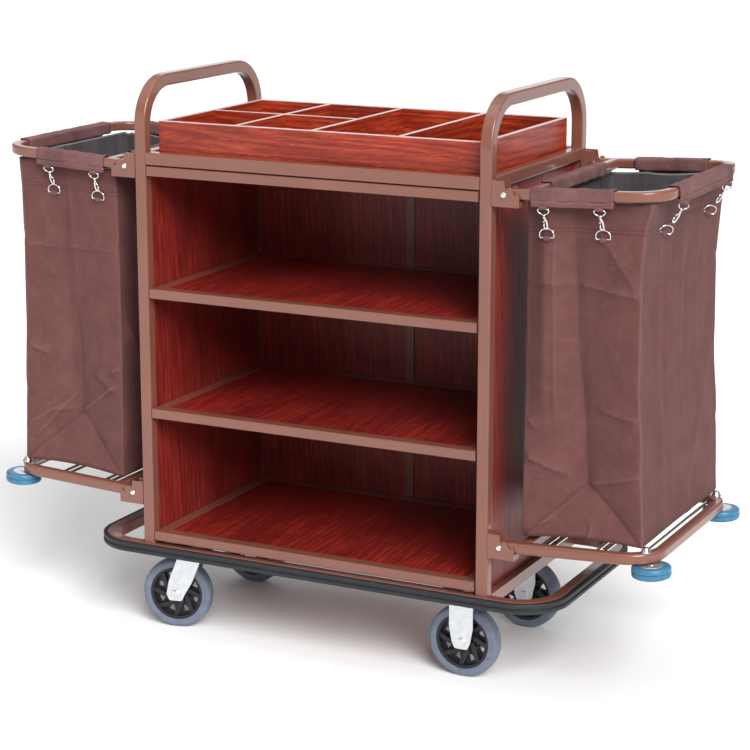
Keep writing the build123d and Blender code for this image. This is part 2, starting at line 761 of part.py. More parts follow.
def write_casters():
    save("rigid_forks", rigid_forks())
    save("swivel_plates", swivel_plates())
    core = wheel_core()
    tyre = wheel_tyre()
    for place, side in (("front", -1), ("rear", 1)):
        save(f"swivel_fork_{place}", turned(swivel_fork(), place))
        for name, shape in (("wheel_core", core), ("wheel_tyre", tyre)):
            save(f"{name}_rigid_{place}", Pos(CASTER_BAR_X, side * CASTER_Y, WHEEL_RADIUS) * shape)
            swivelled = turned(Pos(SWIVEL_X - TRAIL, 0, WHEEL_RADIUS) * shape, place)
            save(f"{name}_swivel_{place}", swivelled)


write_cabinet()
write_bag_holders()
write_casters()
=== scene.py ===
"""Blender scene of a housekeeping cart with two bag holders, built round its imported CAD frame.

Metres, +Z up, the open front faces -Y. Soft pieces are drawn in millimetres for the +X side and
mirrored for the other.
"""

import math

import bpy
from mathutils import Matrix, Vector, noise


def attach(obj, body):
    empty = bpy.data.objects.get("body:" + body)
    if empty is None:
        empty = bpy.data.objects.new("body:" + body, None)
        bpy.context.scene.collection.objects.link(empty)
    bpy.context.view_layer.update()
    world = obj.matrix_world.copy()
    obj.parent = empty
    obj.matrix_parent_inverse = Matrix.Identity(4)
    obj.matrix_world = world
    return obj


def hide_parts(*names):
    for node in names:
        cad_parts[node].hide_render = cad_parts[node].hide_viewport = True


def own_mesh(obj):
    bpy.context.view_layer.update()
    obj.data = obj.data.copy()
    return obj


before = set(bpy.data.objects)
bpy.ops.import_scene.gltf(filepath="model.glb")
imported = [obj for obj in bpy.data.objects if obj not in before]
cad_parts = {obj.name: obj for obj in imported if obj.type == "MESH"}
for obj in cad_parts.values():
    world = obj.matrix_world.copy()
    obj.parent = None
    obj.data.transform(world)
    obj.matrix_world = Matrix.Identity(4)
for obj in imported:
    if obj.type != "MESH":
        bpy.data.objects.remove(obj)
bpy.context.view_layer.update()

MM = 0.001

# Places that the CAD frame uses, in millimetres
PIVOT_X = 417.0
UPPER_PIVOT_Z = 993.0
LOWER_PIVOT_Z = 305.0
TILT = math.radians(2.7)
RING_Y = 226.0
RING_END_X = 720.0
RING_BAR_X = 462.0
REST_HALF = 11.0
TRAY_TOP = 1085.0

# The bag: level outline at its foot and rim, and how far those are from the hinge heights
BAG_FOOT_LIFT = 20.0
BAG_RIM_DROP = 14.0
BAG_CORNER = 5.0
CLOTH = 1.4
SEAM_DROPS = (50.0, 57.0)
RIM_HEM = 5.0
RIM_RAISE = 6.0


# ---------------------------------------------------------------- materials


class Shader:
    """A Principled material whose nodes are added one by one."""

    def __init__(self, name, colour, **sockets):
        self.material = bpy.data.materials.new(name)
        self.material.use_nodes = True
        self.tree = self.material.node_tree
        self.surface = self.tree.nodes["Principled BSDF"]
        self.surface.inputs["Base Color"].default_value = (*colour, 1)
        for key, value in sockets.items():
            socket = key.replace("_", " ").title().replace("Ior", "IOR")
            self.surface.inputs[socket].default_value = value
        self.place = self.node("ShaderNodeTexCoord").outputs["Object"]

    def node(self, kind, inputs=None, **settings):
        made = self.tree.nodes.new(kind)
        for key, value in settings.items():
            setattr(made, key, value)
        for key, value in (inputs or {}).items():
            if isinstance(value, bpy.types.NodeSocket):
                self.tree.links.new(value, made.inputs[key])
            else:
                made.inputs[key].default_value = value
        return made

    def set(self, socket, value):
        self.tree.links.new(value, self.surface.inputs[socket])

    def turn_at_ends(self):
        """Swaps X and Y on faces that look along X, so that the grain runs along each board."""
        facing = self.node("ShaderNodeTexCoord").outputs["Normal"]
        ends = self.math("ABSOLUTE", self.node("ShaderNodeSeparateXYZ", {0: facing}).outputs["X"])
        axes = self.node("ShaderNodeSeparateXYZ", {0: self.place}).outputs
        turned_place = self.node("ShaderNodeCombineXYZ", {0: axes["Y"], 1: axes["X"], 2: axes["Z"]})
        share = self.math("GREATER_THAN", ends, 0.5)
        mixed = self.node("ShaderNodeMix", data_type="VECTOR")
        self.tree.links.new(share, mixed.inputs[0])
        self.tree.links.new(self.place, mixed.inputs[4])
        self.tree.links.new(turned_place.outputs[0], mixed.inputs[5])
        self.place = mixed.outputs[1]

    def scaled(self, scale):
        return self.node("ShaderNodeMapping", {"Vector": self.place, "Scale": scale}).outputs[0]

    def grain(self, scale, detail=3.0, roughness=0.5, stretch=(1, 1, 1), distortion=0.0):
        """Noise from 0 to 1. Scale is in cells per metre."""
        inputs = {
            "Vector": self.scaled(stretch),
            "Scale": scale,
            "Detail": detail,
            "Roughness": roughness,
            "Distortion": distortion,
        }
        return self.node("ShaderNodeTexNoise", inputs).outputs["Fac"]

    def spread(self, value, low, high, start=0.0, end=1.0):
        """Carries a value's range start..end to low..high."""
        inputs = {0: value, 1: start, 2: end, 3: low, 4: high}
        return self.node("ShaderNodeMapRange", inputs).outputs[0]

    def math(self, operation, a, b=0.0):
        return self.node("ShaderNodeMath", {0: a, 1: b}, operation=operation).outputs[0]

    def ramp(self, value, stops):
        """Colours at positions along the value, from 0 to 1."""
        made = self.node("ShaderNodeValToRGB", {"Fac": value})
        elements = made.color_ramp.elements
        while len(elements) < len(stops):
            elements.new(0.5)
        for element, (position, colour) in zip(elements, stops):
            element.position = position
            element.color = (*colour, 1)
        return made.outputs[0]

    def mix(self, share, first, second):
        made = self.node("ShaderNodeMix", data_type="RGBA", blend_type="MIX")
        for index, value in ((0, share), (6, first), (7, second)):
            if isinstance(value, bpy.types.NodeSocket):
                self.tree.links.new(value, made.inputs[index])
            elif isinstance(value, (int, float)):
                made.inputs[index].default_value = value
            else:
                made.inputs[index].default_value = (*value, 1)
        return made.outputs[2]

    def bump(self, height, strength, distance, normal=None):
        inputs = {"Height": height, "Strength": strength, "Distance": distance}
        if normal is not None:
            inputs["Normal"] = normal
        return self.node("ShaderNodeBump", inputs).outputs[0]

    def eased(self, radius):
        """A normal that rounds the edges of a CAD solid, and a mask of those edges."""
        soft = self.node("ShaderNodeBevel", {"Radius": radius}, samples=4).outputs[0]
        flat = self.node("ShaderNodeNewGeometry").outputs["Normal"]
        dot = self.node("ShaderNodeVectorMath", {0: soft, 1: flat}, operation="DOT_PRODUCT")
        return soft, self.spread(dot.outputs["Value"], 1.0, 0.0, 0.82, 0.995)


def shade(colour, factor):
    return tuple(min(1.0, channel * factor) for channel in colour)


def painted_steel(name, coat):
    base = (0.187, 0.068, 0.045)
    s = Shader(name, base, coat_weight=coat, coat_roughness=0.06, specular_ior_level=0.4)
    cloud = s.grain(5, 2)
    tone = s.ramp(cloud, [(0.3, shade(base, 0.93)), (0.7, shade(base, 1.06))])
    soft, edge = s.eased(1.2 * MM)
    # Painted highlight: the paint is made paler in patches along the edges.
    painted_light = s.math("MULTIPLY", edge, s.spread(s.grain(60, 3), 0.0, 0.45, 0.45, 0.75))
    s.set("Base Color", s.mix(painted_light, tone, shade(base, 1.7)))
    s.set("Roughness", s.spread(s.grain(35, 3), 0.27, 0.4))
    s.set("Normal", s.bump(s.grain(650, 2), 0.12, 0.4 * MM, soft))
    return s.material


def wood_rings(s, stretch):
    """The waving year rings of sawn wood."""
    inputs = {
        "Vector": s.scaled(stretch),
        "Scale": 40.0,
        "Distortion": 14.0,
        "Detail": 3.0,
        "Detail Scale": 0.6,
    }
    made = s.node("ShaderNodeTexWave", inputs, wave_type="BANDS", bands_direction="DIAGONAL")
    return made.outputs["Fac"]


def painted_top_highlight(s, tone):
    """Painted highlight along the top faces of the tray's boards."""
    height = s.node("ShaderNodeSeparateXYZ", {0: s.place}).outputs["Z"]
    top = s.math("GREATER_THAN", height, (TRAY_TOP - 1.2) * MM)
    band = s.ramp(s.grain(90, 3), [(0.3, (0.5, 0.36, 0.34)), (0.7, (0.6, 0.46, 0.44))])
    return s.mix(top, tone, band)


def wood(name, stretch, dark, middle, light, gloss, tray=False):
    """Printed wood laminate: streaks, rings and pores that run where stretch is small."""
    s = Shader(name, middle, coat_weight=0.08, coat_roughness=0.25, specular_ior_level=0.35)
    if tray:
        s.turn_at_ends()
    streak = s.grain(300, 4, 0.6, stretch, 0.3)
    rings = wood_rings(s, stretch)
    figure = s.math("ADD", s.math("MULTIPLY", streak, 0.78), s.math("MULTIPLY", rings, 0.22))
    tone = s.ramp(figure, [(0.3, dark), (0.5, middle), (0.72, light)])
    pores = s.grain(620, 2, 0.6, stretch)
    mark = s.spread(pores, 0.0, 0.5, 0.56, 0.7)
    tone = s.mix(mark, tone, shade(dark, 0.45))
    wide = tuple(max(part, 0.35) for part in stretch)
    broad = s.spread(s.grain(11, 3, 0.6, wide), 0.0, 0.65, 0.4, 0.68)
    tone = s.mix(broad, tone, shade(middle, 0.42))
    fleck = s.spread(s.grain(520, 1, 0.5, stretch), 0.0, 0.5, 0.62, 0.74)
    tone = s.mix(fleck, tone, shade(light, 1.35))
    soft, edge = s.eased(0.8 * MM)
    if tray:
        # Painted highlight on the top faces of the tray's walls.
        tone = painted_top_highlight(s, tone)
    # Painted highlight: the board's edges are made paler.
    s.set("Base Color", s.mix(s.math("MULTIPLY", edge, 0.25), tone, shade(light, 1.5)))
    s.set("Roughness", s.spread(figure, gloss + 0.06, gloss))
    rough = s.math("SUBTRACT", figure, s.math("MULTIPLY", mark, 0.5))
    s.set("Normal", s.bump(rough, 0.12, 0.5 * MM, soft))
    return s.material


def painted_fold_shading(s, tone, base, strength):
    """Painted highlight and painted shade in upright bands, standing for the folds of a lining."""
    folds = s.grain(34, 4, 0.65, (1, 1, 0.1))
    tone = s.mix(s.spread(folds, 0.0, strength, 0.45, 0.72), tone, shade(base, 2.0))
    return s.mix(s.spread(folds, strength, 0.0, 0.28, 0.5), tone, shade(base, 0.5))


def painted_crease_light(s, tone, base):
    """Painted highlight, a paler tone, where the mesh's crease is over 0, and painted shade where it
    is under 0.
    """
    crease = s.node("ShaderNodeAttribute", attribute_name="crease").outputs["Fac"]
    crease_highlight = tuple(1.55 * part + 0.035 for part in base)
    tone = s.mix(s.spread(crease, 0.0, 0.75), tone, crease_highlight)
    return s.mix(s.spread(crease, 0.0, 0.6, 0.0, -1.0), tone, shade(base, 0.35))


def woven(name, base, thread=1.5, sheen=0.03, mottle=0.14, painted_light=False, streaks=0.0):
    """Plain weave cloth whose threads run level and upright on every side of the bag."""
    s = Shader(name, base, sheen_weight=sheen, sheen_roughness=0.45, specular_ior_level=0.25)
    axes = s.node("ShaderNodeSeparateXYZ", {0: s.place}).outputs
    turn = 2 * math.pi / (thread * MM)
    across = s.math("SINE", s.math("MULTIPLY", s.math("ADD", axes["X"], axes["Y"]), turn))
    upright = s.math("SINE", s.math("MULTIPLY", axes["Z"], turn))
    weave = s.math("MULTIPLY", across, upright)
    warp = s.grain(420, 2, 0.5, (1, 1, 0.12))
    weft = s.grain(420, 2, 0.5, (0.12, 0.12, 1))
    slub = s.math("MAXIMUM", warp, weft)
    low, high = shade(base, 1 - mottle), shade(base, 1 + mottle)
    tone = s.ramp(s.grain(18, 3, 0.55), [(0.3, low), (0.7, high)])
    tone = s.mix(s.spread(slub, 0.0, 0.6, 0.5, 0.8), tone, shade(base, 1.45))
    # Painted highlight and painted shade in upright bands, for the lining.
    if streaks:
        tone = painted_fold_shading(s, tone, base, streaks)
    tone = s.mix(s.spread(weave, 0.0, 0.16, -1.0, 1.0), tone, shade(base, 0.7))
    # Painted highlight and painted shade along the bag's pressed creases.
    if painted_light:
        tone = painted_crease_light(s, tone, base)
    s.set("Base Color", tone)
    s.set("Roughness", s.spread(slub, 0.72, 0.9, 0.3, 0.8))
    height = s.math("ADD", s.math("MULTIPLY", weave, 0.5), s.math("MULTIPLY", slub, 1.2))
    s.set("Normal", s.bump(height, 0.35, 0.35 * MM))
    return s.material


def rubber(name, base, roughness, scale=240, bump=0.25, dust=0.3):
    s = Shader(name, base, specular_ior_level=0.4)
    dirt = s.spread(s.grain(28, 4), 0.0, dust, 0.45, 0.8)
    tone = s.ramp(s.grain(70, 4), [(0.3, shade(base, 0.85)), (0.7, shade(base, 1.15))])
    soft, edge = s.eased(0.8 * MM)
    # Dust in patches, and a painted highlight that makes the edges paler.
    dust_and_edge_highlight = s.math("MAXIMUM", dirt, s.math("MULTIPLY", edge, 0.2))
    s.set("Base Color", s.mix(dust_and_edge_highlight, tone, shade(base, 1.5)))
    s.set("Roughness", s.spread(s.grain(45, 3), roughness - 0.07, roughness + 0.1))
    s.set("Normal", s.bump(s.grain(scale, 4), bump, 0.4 * MM, soft))
    return s.material


def metal(name, base, roughness, stretch=(1, 1, 1), scale=90, bump=0.06):
    s = Shader(name, base, metallic=1.0)
    cloud = s.grain(scale, 4, 0.6, stretch)
    s.set("Base Color", s.ramp(cloud, [(0.3, shade(base, 0.86)), (0.7, shade(base, 1.08))]))
    s.set("Roughness", s.spread(cloud, roughness - 0.06, roughness + 0.12, 0.3, 0.7))
    soft, _ = s.eased(0.6 * MM)
    s.set("Normal", s.bump(s.grain(scale * 6, 3, 0.5, stretch), bump, 0.3 * MM, soft))
    return s.material


STEEL = painted_steel("painted_steel", 0.6)
DULL_STEEL = painted_steel("painted_steel_inside", 0.0)
SHELF_WOOD = wood(
    "shelf_laminate",
    (1, 0.06, 1),
    (0.13, 0.009, 0.007),
    (0.22, 0.014, 0.011),
    (0.33, 0.031, 0.02),
    gloss=0.34,
)
PANEL_WOOD = wood(
    "panel_laminate",
    (1, 1, 0.06),
    (0.13, 0.011, 0.008),
    (0.22, 0.018, 0.014),
    (0.31, 0.034, 0.024),
    gloss=0.38,
)
TRAY_WOOD = wood(
    "tray_laminate",
    (0.06, 1, 1),
    (0.16, 0.012, 0.006),
    (0.31, 0.028, 0.011),
    (0.45, 0.07, 0.022),
    gloss=0.34,
    tray=True,
)
CLOTH_OUT = woven("bag_cloth", (0.112, 0.043, 0.040), painted_light=True)
SLEEVE_CLOTH = woven("sleeve_cloth", (0.145, 0.064, 0.064), mottle=0.3)
CLOTH_IN = woven("bag_lining", (0.062, 0.053, 0.058), streaks=0.6)
CLOTH_HEM = woven("bag_hem", (0.15, 0.14, 0.155))
THREAD = woven("bag_thread", (0.075, 0.032, 0.032), thread=0.8)
BUMPER = rubber("bumper_rubber", (0.016, 0.018, 0.021), 0.5)
TREAD = rubber("wheel_tread", (0.125, 0.148, 0.2), 0.5, dust=0.25)
BLUE = rubber("roller_rubber", (0.04, 0.16, 0.27), 0.32, bump=0.12)
CORE = rubber("wheel_core", (0.012, 0.012, 0.014), 0.42, scale=500, dust=0.15)
ZINC = metal("zinc_plate", (0.78, 0.81, 0.84), 0.36, scale=60)
NICKEL = metal("nickel", (0.8, 0.79, 0.77), 0.18, scale=200, bump=0.03)
WIRE = metal("bright_wire", (0.78, 0.79, 0.8), 0.16, (1, 0.1, 1), 150)

FINISHES = (
    ("tray", TRAY_WOOD),
    ("shelf_board", SHELF_WOOD),
    ("side_panel", PANEL_WOOD),
    ("back_panels", PANEL_WOOD),
    ("rear_rail", DULL_STEEL),
    ("base_bumper", BUMPER),
    ("pivot_bolts", NICKEL),
    ("rigid_forks", ZINC),
    ("swivel", ZINC),
    ("roller_hub", ZINC),
    ("roller_bolts", NICKEL),
    ("rest_wires", WIRE),
    ("roller_tyre", BLUE),
    ("wheel_core", CORE),
    ("wheel_tyre", TREAD),
)


def finish_of(node):
    for prefix, material in FINISHES:
        if node.startswith(prefix):
            return material
    return STEEL


for node_name, node_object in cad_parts.items():
    node_object.data.materials.clear()
    node_object.data.materials.append(finish_of(node_name))


# ---------------------------------------------------------------- mesh tools


def raised(x, y, lift, pivot_z):
    """A point drawn level with a hinge, turned up to the angle at which the frame stands."""
    reach = x - PIVOT_X
    high_x = PIVOT_X + reach * math.cos(TILT) - lift * math.sin(TILT)
    return Vector((high_x, y, pivot_z + reach * math.sin(TILT) + lift * math.cos(TILT)))


def smooth(value):
    value = min(1.0, max(0.0, value))
    return value * value * (3 - 2 * value)


def hump(off, half):
    """1 where off is 0, falling away softly on both sides."""
    return math.exp(-((off / half) ** 2))


def between(values, share):
    """Smooth interpolation between values spaced evenly over 0..1."""
    place = min(1.0, max(0.0, share)) * (len(values) - 1)
    index = min(int(place), len(values) - 2)
    part = smooth(place - index)
    return values[index] * (1 - part) + values[index + 1] * part


def ripple(seed, *place):
    return noise.noise(Vector(place) + Vector((seed * 17.3, seed * 5.1, seed * 9.7)))


class Form:
    """Vertices in millimetres, faces, and the material index of each face."""

    def __init__(self):
        self.points = []
        self.faces = []
        self.marks = []
        self.creases = []

    def add(self, points, faces, mark=0):
        start = len(self.points)
        self.points += [Vector(p) for p in points]
        self.faces += [tuple(start + i for i in face) for face in faces]
        self.marks += [mark] * len(faces)
        return self

    def place(self, matrix):
        self.points = [matrix @ p for p in self.points]
        return self

    def join(self, other):
        start = len(self.points)
        self.points += other.points
        self.faces += [tuple(start + i for i in face) for face in other.faces]
        self.marks += other.marks
        return self


def grid_faces(rows, columns, closed):
    """Quads of a sheet of rows by columns; closed joins the last column to the first."""
    faces = []
    for row in range(rows - 1):
        for column in range(columns if closed else columns - 1):
            across = (column + 1) % columns
            here, above = row * columns, (row + 1) * columns
            faces.append((here + column, here + across, above + across, above + column))
    return faces


def side_name(side):
    return "right" if side > 0 else "left"


def put_in(name, data):
    """A new object of the scene that holds the data."""
    made = bpy.data.objects.new(name, data)
    bpy.context.scene.collection.objects.link(made)
    return made


def piece(name, form, materials, body, side=1):
    """A mesh object from a form, mirrored for the -X side, riding on a CAD body."""
    points = [(side * p.x * MM, p.y * MM, p.z * MM) for p in form.points]
    faces = form.faces if side > 0 else [tuple(reversed(face)) for face in form.faces]
    mesh = bpy.data.meshes.new(name)
    mesh.from_pydata(points, [], faces)
    for material in materials:
        mesh.materials.append(material)
    mesh.polygons.foreach_set("material_index", form.marks)
    mesh.polygons.foreach_set("use_smooth", [True] * len(faces))
    if form.creases:
        crease = mesh.attributes.new("crease", "FLOAT", "POINT")
        crease.data.foreach_set("value", form.creases + [0.0] * (len(points) - len(form.creases)))
    mesh.update()
    made = put_in(name, mesh)
    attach(made, body)
    return made


def settle(made):
    """Replaces an object's mesh with what its modifiers make of it."""
    graph = bpy.context.evaluated_depsgraph_get()
    final = bpy.data.meshes.new_from_object(made.evaluated_get(graph))
    made.modifiers.clear()
    made.data = final
    return made


def thicken(made, thickness, offset, inner=0, rim=0):
    solid = made.modifiers.new("cloth", "SOLIDIFY")
    solid.thickness = thickness * MM
    solid.offset = offset
    solid.material_offset = inner
    solid.material_offset_rim = rim
    return settle(made)


def round_bar(path, radius, closed=False, sides=10):
    """A round bar along a path that lies in the XZ plane; radius may be one for each point."""
    flat = Vector((0, 1, 0))
    count = len(path)
    radii = radius if isinstance(radius, (list, tuple)) else [radius] * count
    form = Form()
    points = []
    for i, centre in enumerate(path):
        before = path[(i - 1) % count if closed else max(i - 1, 0)]
        after = path[(i + 1) % count if closed else min(i + 1, count - 1)]
        along = (Vector(after) - Vector(before)).normalized()
        side = along.cross(flat).normalized()
        up = side.cross(along).normalized()
        for k in range(sides):
            angle = 2 * math.pi * k / sides
            points.append(Vector(centre) + radii[i] * (side * math.cos(angle) + up * math.sin(angle)))
    rows = count + 1 if closed else count
    if closed:
        points += points[:sides]
    faces = grid_faces(rows, sides, True)
    if not closed:
        faces.append(tuple(reversed(range(sides))))
        faces.append(tuple((count - 1) * sides + k for k in range(sides)))
    return form.add(points, faces)


def turned(profile, sides):
    """A solid of revolution about Z from (radius, height) pairs, bottom to top."""
    points = []
    for radius, height in profile:
        for k in range(sides):
            angle = 2 * math.pi * k / sides
            points.append((radius * math.cos(angle), radius * math.sin(angle), height))
    faces = grid_faces(len(profile), sides, True)
    faces.append(tuple(reversed(range(sides))))
    faces.append(tuple((len(profile) - 1) * sides + k for k in range(sides)))
    return Form().add(points, faces)


def dashes(path, normals, spacing, length, radius):
    """Sewing stitches along a path: small pointed beads of thread."""
    form = Form()
    travelled = 0.0
    due = 0.0
    for a, b, normal in zip(path, path[1:], normals):
        step = (b - a).length
        while due <= travelled + step and step > 0:
            along = (b - a) / step
            centre = a + along * (due - travelled) + normal * radius * 0.4
            side = along.cross(normal).normalized()
            tips = [centre - along * length / 2, centre + along * length / 2]
            ring = [side, normal, -side, -normal]
            belly = [centre + direction * radius for direction in ring]
            faces = [(0, 2 + (k + 1) % 4, 2 + k) for k in range(4)]
            faces += [(1, 2 + k, 2 + (k + 1) % 4) for k in range(4)]
            form.add(tips + belly, faces)
            due += spacing
        travelled += step
    return form


# ---------------------------------------------------------------- bags

# Corner lines from foot to rim give level x or y at even heights. A fold runs from one (s, t) to
# another, s along the panel and t up, and has a rise and a half width in millimetres.
RIGHT_BAG = {
    "seed": 1,
    "inner_x": (454, 452, 452, 451, 455),
    "outer_x": (703, 697, 687, 686, 693),
    "rim_x": 703,
    "front_inner_y": (-212, -208, -206, -206, -210),
    "front_outer_y": (-218, -217, -217, -217, -217),
    "valley": (0.54, 0.5, 0.44, 0.4),
    "apex": 0.165,
    "depth": 26,
    "ridge": 9,
    # strip: how deep the painted shade is over the part of the front nearest the inner edge.
    "strip": 0.9,
    "folds": {
        "front": (
            ((0.0, 0.765), (0.42, 0.765), 1.6, 9),
            ((0.44, 0.765), (1.0, 0.735), 2.4, 10),
            ((0.5, 0.97), (0.98, 0.75), 2.2, 26),
            ((0.53, 0.17), (1.0, 0.215), 2.6, 12),
            ((0.62, 0.4), (0.98, 0.375), 2.0, 12),
            ((0.0, 0.25), (0.36, 0.2), 2.6, 13),
            ((0.02, 0.36), (0.12, 0.33), 1.8, 8),
            ((0.02, 0.02), (0.25, 0.06), 2.0, 10),
            ((0.56, 0.0), (0.575, 0.05), 2.0, 5),
            ((0.24, 0.9), (0.27, 0.35), 2.0, 16),
        ),
        "outer": (
            ((0.0, 0.74), (0.3, 0.77), 1.6, 10),
            ((0.2, 0.86), (0.26, 0.08), 2.6, 9),
            ((0.33, 0.8), (0.38, 0.2), 2.2, 8),
            ((0.42, 0.9), (0.36, 0.1), -2.4, 10),
            ((0.5, 0.86), (0.56, 0.3), 2.0, 8),
            ((0.62, 0.92), (0.6, 0.35), -1.8, 12),
            ((0.93, 0.5), (0.55, 0.05), 2.4, 16),
            ((0.5, 0.14), (0.62, 0.0), 2.0, 9),
            ((0.7, 0.97), (0.74, 0.5), 1.6, 8),
        ),
    },
}

LEFT_BAG = {
    "seed": 2,
    "inner_x": (456, 454, 453, 452, 454),
    "outer_x": (702, 697, 691, 688, 688),
    "rim_x": 691,
    "front_inner_y": (-217, -214, -213, -214, -215),
    "front_outer_y": (-217, -216, -215, -216, -217),
    "valley": (0.43, 0.45, 0.5, 0.54),
    "apex": 0.18,
    "depth": 20,
    "ridge": 1.5,
    "strip": 0.0,
    "folds": {
        "front": (
            ((0.0, 0.74), (1.0, 0.72), 1.4, 9),
            ((0.98, 0.4), (0.76, 0.37), 3.0, 11),
            ((0.02, 0.36), (0.12, 0.34), 2.4, 8),
            ((0.3, 0.33), (0.05, 0.28), 2.2, 12),
            ((0.45, 0.19), (0.06, 0.3), 3.4, 11),
            ((0.5, 0.25), (0.9, 0.08), 2.6, 12),
            ((0.62, 0.21), (0.98, 0.12), 2.4, 10),
            ((0.8, 0.18), (0.5, 0.2), 1.8, 9),
            ((0.94, 0.07), (0.99, 0.02), 2.0, 8),
            ((0.52, 0.96), (0.5, 0.5), 1.6, 10),
        ),
        "outer": (
            ((0.15, 0.86), (0.22, 0.1), 2.4, 10),
            ((0.42, 0.85), (0.4, 0.2), -2.2, 12),
            ((0.55, 0.9), (0.62, 0.2), 2.4, 9),
            ((0.8, 0.9), (0.76, 0.3), 2.0, 10),
            ((0.05, 0.5), (0.4, 0.1), 2.2, 16),
        ),
    },
}

PANELS = ("front", "outer", "back", "inner")
PANEL_COLUMNS = {"front": 88, "outer": 96, "back": 56, "inner": 60}
CORNER_STEPS = 5
FLOOR_RINGS = 12
FOLD_POWER = 1.7
FOLD_RISE = 3.2


def fold_height(folds, s, t, width, height):
    """Soft pressed folds, each from one point of the panel to another: their height, and the painted
    highlight along each fold's line, which is painted shade where the rise is under 0.
    """
    total = 0.0
    fold_light = 0.0
    for (s0, t0), (s1, t1), rise, half in folds:
        ax, az = s0 * width, t0 * height
        dx, dz = s1 * width - ax, t1 * height - az
        length = math.hypot(dx, dz)
        px, pz = s * width - ax, t * height - az
        along = (px * dx + pz * dz) / (length * length)
        if not -0.15 < along < 1.15:
            continue
        off = abs(px * dz - pz * dx) / length
        if off > 4 * half:
            continue
        taper = smooth((along + 0.1) * 4) * smooth((1.1 - along) * 4)
        total += FOLD_RISE * rise * taper * math.exp(-off / (0.68 * half))
        # Painted highlight along the fold's line; painted shade where the rise is under 0.
        fold_light += 0.17 * rise * taper * hump(off, 2.0)
    return total, fold_light


def gusset(bag, s, t):
    """The panel's inward fold down its middle, which opens as an upside-down V over the foot."""
    apex = bag["apex"]
    valley = between(bag["valley"], t)
    if t >= apex:
        deep = bag["depth"] * (0.45 + 0.55 * smooth((1 - t) / (1 - apex)))
        ridge = bag["ridge"] * smooth((t - 0.25) * 3) * math.exp(-((abs(s - 0.17) / 0.12) ** 1.3))
        share = s / valley if s < valley else (1 - s) / (1 - valley)
        return ridge - deep * share**FOLD_POWER
    rise = t / apex
    left, right = v_lines(valley, rise)
    deep = bag["depth"] * rise
    if s < left:
        return -deep * (s / left) ** FOLD_POWER
    if s > right:
        return -deep * ((1 - s) / (1 - right)) ** FOLD_POWER
    inside = 1 - abs(2 * s - left - right) / (right - left)
    return -deep + 5.0 * smooth(inside * 1.5) * (1 - rise) * rise


def v_lines(valley, rise):
    """Where the two arms of the upside-down V cross a level, which is rise of the way to its apex."""
    return 0.04 + (valley - 0.04) * rise, 0.97 + (valley - 0.97) * rise


def gusset_crease(bag, s, t, width):
    """Painted light and shade on the pressed lines of the gusset: under 0 painted shade, over 0
    painted highlight.
    """
    apex = bag["apex"]
    valley = between(bag["valley"], t)
    if t >= apex:
        off = (s - valley) * width
        fade = 0.35 + 0.65 * smooth((1 - t) * 3)
        # Painted shade along the valley and in a wider band just beside it.
        line = -0.6 * hump(off, 2.2) - 0.3 * hump(off - 9, 10)
        # Painted shade over the strip of the front nearest the inner edge, as deep as the bag's strip
        # value.
        strip = -bag["strip"] * smooth((t - 0.2) * 3) * (1 - smooth((s - 0.12) / 0.08))
        return fade * line + strip
    rise = t / apex
    left, right = v_lines(valley, rise)
    slant = 0.75
    total = 0.0
    for line, way in ((left, -1), (right, 1)):
        off = (s - line) * width * slant
        # Painted highlight on each arm of the V, and painted shade just outside it.
        total += 0.4 * hump(off, 1.8)
        total -= 0.45 * hump(off - way * 6, 5)
    return total


def wrinkles(seed, x, z, upright):
    """Streaks, waves, fine wrinkles and crumpled ridges at a place of a panel, and the last alone."""
    streaks = upright * ripple(seed, x / 30, z / 260, 0)
    soft = 1.3 * ripple(seed + 3, x / 70, z / 80, 2)
    fine = 0.35 * ripple(seed + 5, x / 11, z / 17, 4)
    crumple = 1.1 * (1 - abs(2.0 * ripple(seed + 7, x / 95, z / 60, 6))) ** 9
    crumple -= 0.9 * (1 - abs(2.0 * ripple(seed + 8, x / 60, z / 110, 8))) ** 9
    return streaks + soft + fine + crumple, crumple


def panel_offset(bag, panel, s, t, width, height):
    """How far a panel stands out of its flat plane, outwards positive, and the painted light and shade
    of its creases.
    """
    seed = bag["seed"] * 10 + PANELS.index(panel)
    free = smooth(min(s, 1 - s) * width / 14)
    held = smooth(t * height / 30) * (0.35 + 0.65 * smooth((1 - t) * height / 70))
    crease = 0.0
    if panel in ("front", "back"):
        where = s if panel == "front" else 1 - s
        offset = gusset(bag, where, t) * (1.0 if panel == "front" else 0.8)
        crease = gusset_crease(bag, where, t, width) * free
        upright = 0.7
    else:
        where = s
        offset = -3.0 * math.sin(math.pi * s) * math.sin(math.pi * t) - 1.0
        upright = 1.3
    folds = bag["folds"].get(panel)
    if folds is None:
        folds = bag["folds"]["front" if panel == "back" else "outer"]
        where = 1 - s
    lift, fold_light = fold_height(folds, where, t, width, height)
    offset += lift * free
    crease += fold_light * free
    wrinkle, crumple = wrinkles(seed, s * width, t * height, upright)
    # Crumpled ridges add painted highlight and crumpled hollows add painted shade.
    return offset + wrinkle * free * held, crease + 0.12 * crumple * free


def seam_dent(drop):
    """The rim hem's two sewn lines press the cloth in, and the hem is thicker above them."""
    dent = sum(0.9 * hump(drop - seam, 1.6) for seam in SEAM_DROPS)
    return 0.7 * smooth((SEAM_DROPS[1] + 2 - drop) / 3) - dent


def bag_height():
    return UPPER_PIVOT_Z - BAG_RIM_DROP - LOWER_PIVOT_Z - BAG_FOOT_LIFT


